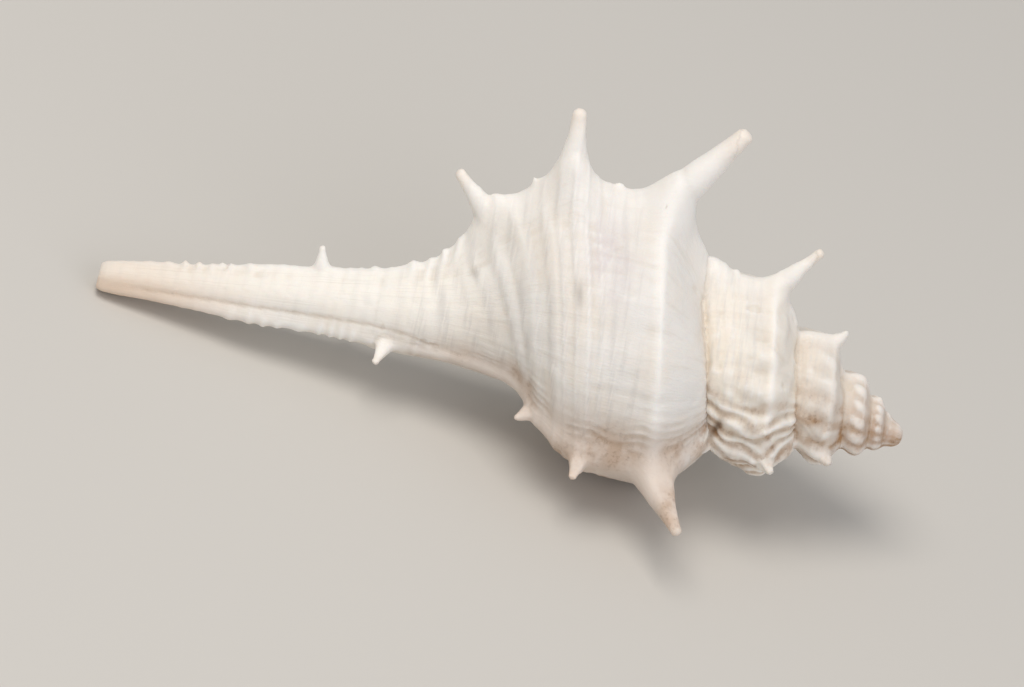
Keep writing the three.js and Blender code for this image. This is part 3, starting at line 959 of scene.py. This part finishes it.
def spire_lumps(at):
    """Rounded knobs on each old whorl, in place of crisp ribs."""
    uneven = 0.6 + 0.5 * waves(at.points, length=3, seed=12)
    height = LUMP_HEIGHT * on_old_whorls(at) * knob_wave(at)
    return height * bump((at.down - LUMP_DOWN) / LUMP_WIDTH) * uneven


def lamella_zone(at):
    """1 on the lower side of the spire, where old growth edges show as curved frills."""
    around = between(*LAMELLA_SIDE, np.cos(2 * np.pi * (at.fraction - LAMELLA_TURN)))
    fading = mix(1, LAMELLAE_FADED, between(*LAMELLAE_FADE_TURNS, -at.turn))
    return fading * around * on_spire(at) * at.outer * (at.reach == 0)


def lamella_wave(at):
    """1 on the edges of the curved frills and 0 in the troughs between them."""
    bulge = LAMELLA_BULGE * bump((at.down - LAMELLA_BULGE_DOWN) / LAMELLA_BULGE_WIDTH)
    along = at.turn * BELLY_ROUND + bulge + 0.35 * waves(at.grain, length=3, seed=13)
    return crest(along, LAMELLA_SPACING, sharpness=1.5)


def fine_relief(at):
    on_body = 1 - between(*BODY_ENDS, at.down)
    on_outside = 1 - np.maximum(at.hollow.inside, at.callus)
    lamellae = LAMELLA_HEIGHT * lamella_zone(at) * lamella_wave(at)
    body = threads(at) + growth_lines(at) + frills(at) + spire_lumps(at) + lamellae
    canal_parts = canal_scales(at) - FURROW_DEPTH * canal_line(at)
    marks = -SPOT_DEPTH * spot_share(at, SPOTS) - HOLE_DEPTH * spot_share(at, HOLES)
    outside = at.size * on_body * body + canal_parts + worn(at) * np.sqrt(at.size) + marks
    inside = at.hollow.inside * lip_teeth(at) + CALLUS_HEIGHT * at.callus
    return at.outer * on_outside * outside + inside


def outer_share(at):
    """1 on the outer surface and 0 in the canal's bore and slit."""
    of_body = outline_at(at.down) * at.size
    wall = np.where(at.own_down > OUTLINE_TO, canal_radius(at.own_down), of_body)
    return between(*OUTER_SHARES, at.own_out / wall)


def located(points):
    at = places_of(points)
    at.grain = np.stack([at.turn * BELLY_ROUND, at.down], -1)
    at.hollow = hollow_places(at)
    at.outer = outer_share(at)
    at.callus = callus_share(at)
    at.reach = spine_reach(at)
    return at


def spine_reach(at):
    """How far along a spine each point is: 0 off the spines, and 1 at their tips."""
    reach = np.zeros(len(at.points))
    for base, entry in spine_bases():
        _, _, length, _, base_radius, tip = entry
        _, onward, _, _ = spine_line(base, entry)
        along = (at.points - base) @ onward
        aside = np.linalg.norm(at.points - base - np.outer(along, onward), axis=1)
        share = np.clip(along / length, 0, 1)
        width = SPINE_CURL * length * share**2 + mix(base_radius, tip, share) + REACH_SLACK
        on_it = (aside < width) & (along > 0)
        reach = np.maximum(reach, np.where(on_it, share * min(1, length / REACH_FULL_LENGTH), 0))
    return reach


def stain_and_shade_share(at, flank, dip):
    """How strong the brown stains are, which are mostly on the lower side, with painted shade added
    to them there, on the lower flank and between the old whorls' knobs.
    """
    patchy = waves(at.points, length=3.2, seed=21)
    finely_patchy = waves(at.points, length=1.6, seed=22)
    suture = 1 - between(*SUTURE_ENDS, at.down)
    in_sutures = SUTURE_STAIN * suture * between(-0.6, 1.4, patchy)
    # On the lower flank: brown staining, and painted shade
    on_flank = FLANK_STAIN_AND_SHADE * flank * between(-1.4, 1.2, patchy)
    stain_and_shade = DIP_STAIN * between(*DIPS, dip) * mix(0.3, 0.5, on_spire(at))
    stain_and_shade += in_sutures + on_flank
    stain_and_shade += SPIRE_STAIN * on_spire(at) * between(0.2, 1.6, finely_patchy)
    # Between the old whorls' knobs: dirt, and painted shade that makes the knobs stand out
    stain_and_shade += BETWEEN_KNOBS_STAIN_AND_SHADE * on_old_whorls(at) * (1 - knob_wave(at))
    stain_and_shade += BETWEEN_LAMELLAE_STAIN * lamella_zone(at) * (1 - lamella_wave(at)) ** 2
    # Stronger towards the lower side: partly real staining and partly painted shade
    stain_and_shade = stain_and_shade * mix(0.15, 1, between(-0.5, 0.8, lower_side(at))) + FURROW_DARKENING * canal_line(at)
    return stain_and_shade * (at.outer * (1 - at.hollow.inside) * (1 - at.callus))


def colour_fields(at, crevice, dip):
    """How strong each colour of the shell is, with painted shade and painted highlights among them,
    by the name that the material knows it by.
    """
    # The canal's tan tip and the apex's tan are stronger on the lower side and the pale cream
    # weaker there: partly their own colour and partly painted shade
    below = lower_side(at)
    _, past = past_varix(at.turn)
    flank = within(FLANK_TURNS, -at.turn) * within(FLANK_DOWNS, at.down)
    white = np.maximum(cord_share(at), VARIX_WHITE * bump(past / VARIX_WHITE_WIDTH)) * at.outer
    # Convex crests are whitened: worn white, and a painted highlight
    white = np.clip(white + between(*CREST_WEAR_AND_HIGHLIGHTS, -crevice), 0, 1)
    canal_end = between(*CANAL_TAN_DOWNS, at.own_down) * mix(0.45, 1, between(-0.5, 0.7, below))
    spine_ends = SPINE_TIP_TAN * between(*SPINE_TIP_REACH, at.reach)
    lilac = bump((at.turn - LILAC_TURN) / LILAC_TURNS) * bump((at.down - LILAC_DOWN) / LILAC_WIDTH)
    # Painted shade on the shoulder's slope, and a little less under the keel
    ramp_shade = within(RAMP_DOWNS, at.down) + 0.8 * within(UNDER_KEEL_DOWNS, at.down)
    bands = crest(at.down, THREAD_SPACING, sharpness=1) * between(*BANDS_FROM, at.down)
    bands *= mix(1, 0.25, between(*BANDS_FADE_DOWNS, at.own_down))
    cream = between(*CREAM_DOWNS, at.own_down) * mix(1, 0.5, between(-0.3, 0.7, below))
    apex = 1 - between(*APEX_DOWNS, at.own_down)
    spots = SPOT_DARKNESS * spot_share(at, SPOTS)
    holes = HOLE_DARKNESS * spot_share(at, HOLES)
    return {
        "white": white * mix(1, OLD_WHITE, on_old_whorls(at)),
        "shade": between(*CREVICES, crevice) * at.outer,
        "stain_and_shade": stain_and_shade_share(at, flank, dip),
        "tips": np.maximum(canal_end, spine_ends),
        "lilac": lilac,
        "ramp_shade": ramp_shade * at.outer,
        "spire": on_spire(at),
        "inside": at.hollow.inside * (1 - between(*LIP_EDGE_TURNS, at.hollow.turn)),
        "depth": between(*DEPTH_TURNS, -at.hollow.turn),
        "flank": flank * at.outer,
        "callus": at.callus,
        "dark": np.maximum(spots, holes) * at.outer,
        "bands": bands * at.outer,
        "cream": cream * at.outer,
        "old": on_old_whorls(at) * at.outer,
        "apex": apex * mix(0.5, 1, between(-0.8, 0.4, below)),
    }


def paint(mesh, at, points, edges, normals):
    """Keeps on the mesh where each colour of the shell goes."""
    near = smoothed(points, edges, NEAR_ROUNDS)
    broad = smoothed(near, edges, BROAD_ROUNDS)
    crevice = np.sum((near - points) * normals, 1)
    dip = np.sum((broad - points) * normals, 1)
    for name, values in colour_fields(at, crevice, dip).items():
        field = mesh.attributes.new(name, "FLOAT", "POINT")
        field.data.foreach_set("value", np.clip(values, 0, 1).astype(np.float32))
    grain = mesh.attributes.new("grain", "FLOAT_VECTOR", "POINT")
    on_surface = np.column_stack([at.grain * at.size[:, None], at.own_out])
    grain.data.foreach_set("vector", on_surface.astype(np.float32).ravel())


def linear(colour):
    """A colour written as six hex digits, as Blender's linear red, green and blue."""
    parts = [int(colour[i : i + 2], 16) / 255 for i in (0, 2, 4)]
    return [part / 12.92 if part <= 0.04045 else ((part + 0.055) / 1.055) ** 2.4 for part in parts]


class Paint:
    """A material being made: each call adds a node and gives the socket that it feeds."""

    def __init__(self, name):
        self.material = bpy.data.materials.new(name)
        self.material.use_nodes = True
        self.tree = self.material.node_tree
        self.shader = self.tree.nodes["Principled BSDF"]

    def connect(self, value, socket):
        if isinstance(value, bpy.types.NodeSocket):
            self.tree.links.new(value, socket)
        elif isinstance(value, str):
            socket.default_value = (*linear(value), 1)
        else:
            socket.default_value = value

    def field(self, name, part="Fac"):
        node = self.tree.nodes.new("ShaderNodeAttribute")
        node.attribute_name = name
        return node.outputs[part]

    def noise(self, vector, scale, detail=4, roughness=0.55):
        node = self.tree.nodes.new("ShaderNodeTexNoise")
        self.connect(vector, node.inputs["Vector"])
        self.connect(scale, node.inputs["Scale"])
        self.connect(detail, node.inputs["Detail"])
        self.connect(roughness, node.inputs["Roughness"])
        return node.outputs["Fac"]

    def stretched(self, vector, scale):
        node = self.tree.nodes.new("ShaderNodeVectorMath")
        node.operation = "MULTIPLY"
        self.connect(vector, node.inputs[0])
        self.connect(scale, node.inputs[1])
        return node.outputs[0]

    def math(self, operation, a, b):
        node = self.tree.nodes.new("ShaderNodeMath")
        node.operation = operation
        self.connect(a, node.inputs[0])
        self.connect(b, node.inputs[1])
        return node.outputs[0]

    def range(self, value, low, high, start=0.0, end=1.0):
        node = self.tree.nodes.new("ShaderNodeMapRange")
        node.interpolation_type = "SMOOTHSTEP"
        for socket, given in zip(node.inputs, (value, low, high, start, end)):
            self.connect(given, socket)
        return node.outputs[0]

    def blend(self, share, a, b):
        node = self.tree.nodes.new("ShaderNodeMix")
        node.data_type = "RGBA"
        self.connect(share, node.inputs[0])
        self.connect(a, node.inputs[6])
        self.connect(b, node.inputs[7])
        return node.outputs[2]

    def bump(self, height, distance, strength, normal=None):
        node = self.tree.nodes.new("ShaderNodeBump")
        self.connect(height, node.inputs["Height"])
        self.connect(distance, node.inputs["Distance"])
        self.connect(strength, node.inputs["Strength"])
        if normal is not None:
            self.connect(normal, node.inputs["Normal"])
        return node.outputs["Normal"]

    def place(self):
        node = self.tree.nodes.new("ShaderNodeTexCoord")
        return node.outputs["Object"]

    def tinted(self, colour, name, strength, tint):
        """The colour with a tint laid over it, as strong as the mesh's field of that name."""
        return self.blend(self.math("MULTIPLY", self.field(name), strength), colour, tint)


def shell_material():
    made = Paint("worn_shell")
    place_on = made.place()
    grain = made.field("grain", "Vector")
    streaks = made.noise(made.stretched(grain, (1.6, 0.12, 0.3)), 1.0, 5)
    rings = made.noise(made.stretched(grain, (0.05, 2.2, 0.3)), 1.0, 3)
    cloud = made.noise(place_on, 180, 3)
    mottle = made.noise(place_on, 700, 4)
    speck = made.noise(place_on, 2600, 3, 0.6)

    colour = made.blend(made.range(cloud, 0.35, 0.65), "f0ece6", "ede5da")
    colour = made.tinted(colour, "spire", 0.75, "f0e5d3")
    colour = made.tinted(colour, "cream", 0.75, "fdf7ec")
    colour = made.tinted(colour, "old", 0.6, "dbd0c4")
    # Tan at the apex: partly dirt and partly painted shade
    colour = made.tinted(colour, "apex", 0.85, "b38f72")
    # Painted shade on the shoulder's slope and under the keel
    colour = made.tinted(colour, "ramp_shade", 0.3, "dfdbd5")
    colour = made.tinted(colour, "bands", made.range(rings, 0.4, 0.6, 0.1, 0.55), "d2cdc7")
    colour = made.blend(made.range(streaks, 0.52, 0.72, 0.0, 0.35), colour, "dbd2c5")
    colour = made.tinted(colour, "lilac", made.range(mottle, 0.35, 0.6, 0.2, 0.6), "cfc3c4")
    colour = made.tinted(colour, "shade", 0.35, "d2c5b1")
    colour = made.tinted(colour, "white", 0.7, "f6f2ec")
    # A tan tint on the lower flank: partly its own colour and partly painted shade
    colour = made.tinted(colour, "flank", 0.55, "cdb6a3")
    colour = made.tinted(colour, "tips", 0.7, "e6c8ab")
    # The brown stains, with painted shade on the lower flank, between the old whorls' knobs and
    # towards the lower side
    stained_and_shaded = made.math("MULTIPLY", made.field("stain_and_shade"), made.range(mottle, 0.3, 0.62, 0.35, 1.0))
    colour = made.blend(stained_and_shaded, colour, "a9835c")
    deep = made.math("MULTIPLY", stained_and_shaded, made.range(speck, 0.5, 0.7, 0.0, 0.6))
    colour = made.blend(deep, colour, "6f4f33")
    colour = made.blend(made.field("dark"), colour, "5a4c40")
    # The lining darkens deeper into the hollow: painted shade
    lining = made.blend(made.field("depth"), "f2e2cb", "8a5a37")
    colour = made.blend(made.field("inside"), colour, lining)
    colour = made.blend(made.field("callus"), colour, "f3ece1")
    made.connect(colour, made.shader.inputs["Base Color"])

    glossy = made.math("MAXIMUM", made.field("inside"), made.field("callus"))
    dull = made.range(speck, 0.3, 0.7, 0.5, 0.66)
    roughness = made.math("SUBTRACT", dull, made.math("MULTIPLY", glossy, 0.33))
    made.connect(roughness, made.shader.inputs["Roughness"])
    fine = made.noise(made.stretched(grain, (6.0, 0.8, 1.0)), 1.0, 4)
    normal = made.bump(fine, 0.00006, 0.6)
    normal = made.bump(speck, 0.00004, 0.6, normal)
    made.connect(normal, made.shader.inputs["Normal"])
    made.shader.inputs["Subsurface Weight"].default_value = 0.12
    made.shader.inputs["Subsurface Radius"].default_value = (1.0, 0.7, 0.5)
    made.shader.inputs["Subsurface Scale"].default_value = 0.0012
    made.shader.inputs["Specular IOR Level"].default_value = 0.45
    return made.material


def laid_down(points):
    """Turns points from the shell's own frame to how it lies, at its real size and place."""
    level = math.cos(REST_PITCH)
    up = Vector((math.sin(REST_PITCH), level * math.sin(REST_ROLL), level * math.cos(REST_ROLL)))
    turned = up.rotation_difference(Vector((0, 0, 1))).to_matrix()
    points = points @ np.array(turned).T * METRES
    low, high = (np.array(corner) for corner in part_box("shell"))
    shift = (low + high) / 2 - (points.min(0) + points.max(0)) / 2
    shift[2] = low[2] - points[:, 2].min()
    return points + shift


def thinned(mesh, most_triangles):
    """The mesh with its triangles merged where it is flattest, down to a number of them."""
    made = bpy.data.objects.new("thinned", mesh)
    bpy.context.scene.collection.objects.link(made)
    modifier = made.modifiers.new("thinner", "DECIMATE")
    modifier.ratio = most_triangles / (2 * len(mesh.polygons))
    result = taken_as_mesh(made)
    bpy.data.objects.remove(made)
    return result


def add_shell():
    mesh = grown_mesh()
    edges = edges_of(mesh)
    points = evened(points_of(mesh), edges, SMOOTHING_ROUNDS)
    feet = spine_feet(points)[:, None]
    points = mix(points, smoothed(points, edges, FOOT_ROUNDS), feet)
    grown = places_of(points)
    worn_round = between(ERODED_FROM, ERODED_FROM + ERODED_OVER, -grown.turn)
    worn_round *= 1 - between(*ERODED_TO_REACH, spine_reach(grown))
    points = mix(points, smoothed(points, edges, ERODED_ROUNDS), worn_round[:, None])
    set_points(mesh, points)
    at = located(points)
    points = at.points + fine_relief(at)[:, None] * normals_of(mesh)
    set_points(mesh, points)
    paint(mesh, at, points, edges, normals_of(mesh))
    mesh = thinned(mesh, MOST_TRIANGLES)
    set_points(mesh, laid_down(points_of(mesh)))
    mesh.polygons.foreach_set("use_smooth", [True] * len(mesh.polygons))
    mesh.materials.clear()
    mesh.materials.append(shell_material())
    shell = bpy.data.objects.new("murex", mesh)
    bpy.context.scene.collection.objects.link(shell)
    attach(shell, "root")
    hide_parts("shell")


def add_camera():
    low, high = cad_box
    back = Vector((
        math.sin(VIEW_AZIMUTH) * math.cos(VIEW_ELEVATION),
        -math.cos(VIEW_AZIMUTH) * math.cos(VIEW_ELEVATION),
        math.sin(VIEW_ELEVATION),
    ))
    data = bpy.data.cameras.new("camera")
    data.lens = LENS
    data.sensor_width = SENSOR
    camera = bpy.data.objects.new("camera", data)
    bpy.context.scene.collection.objects.link(camera)
    level = (-back).to_track_quat("-Z", "Y").to_matrix()
    turned = level @ Matrix.Rotation(VIEW_ROLL, 3, "Z")
    aim = (low + high) / 2 + turned @ Vector((*AIM, 0))
    distance = FRAME_WIDTH * LENS / SENSOR
    camera.matrix_world = Matrix.Translation(aim + back * distance) @ turned.to_4x4()
    bpy.context.scene.camera = camera


def add_floor():
    data = bpy.data.meshes.new("floor")
    side = FLOOR_SIDE / 2
    corners = [(-side, -side, 0), (side, -side, 0), (side, side, 0), (-side, side, 0)]
    data.from_pydata(corners, [], [(0, 1, 2, 3)])
    floor = bpy.data.objects.new("floor", data)
    bpy.context.scene.collection.objects.link(floor)
    made = Paint("floor")
    made.connect("cdc9c2", made.shader.inputs["Base Color"])
    made.shader.inputs["Roughness"].default_value = 0.9
    data.materials.append(made.material)


def add_light(name, location, size, power, colour):
    data = bpy.data.lights.new(name, "AREA")
    data.shape = "DISK"
    data.size = size
    data.energy = power
    data.color = linear(colour)
    light = bpy.data.objects.new(name, data)
    bpy.context.scene.collection.objects.link(light)
    light.location = location
    light.rotation_mode = "QUATERNION"
    light.rotation_quaternion = (-Vector(location)).to_track_quat("-Z", "Y")


def add_world():
    world = bpy.data.worlds.new("studio")
    world.use_nodes = True
    background = world.node_tree.nodes["Background"]
    background.inputs["Color"].default_value = (*linear("f2f4f8"), 1)
    background.inputs["Strength"].default_value = WORLD_STRENGTH
    bpy.context.scene.world = world


add_shell()
add_camera()
add_floor()
add_light("key", location=(-0.14, -0.06, 0.45), size=0.32, power=1.25, colour="fffaf4")
add_light("fill", location=(0.28, -0.38, 0.25), size=0.5, power=0.75, colour="f6f7ff")
add_world()
bpy.context.scene.view_settings.view_transform = "Standard"
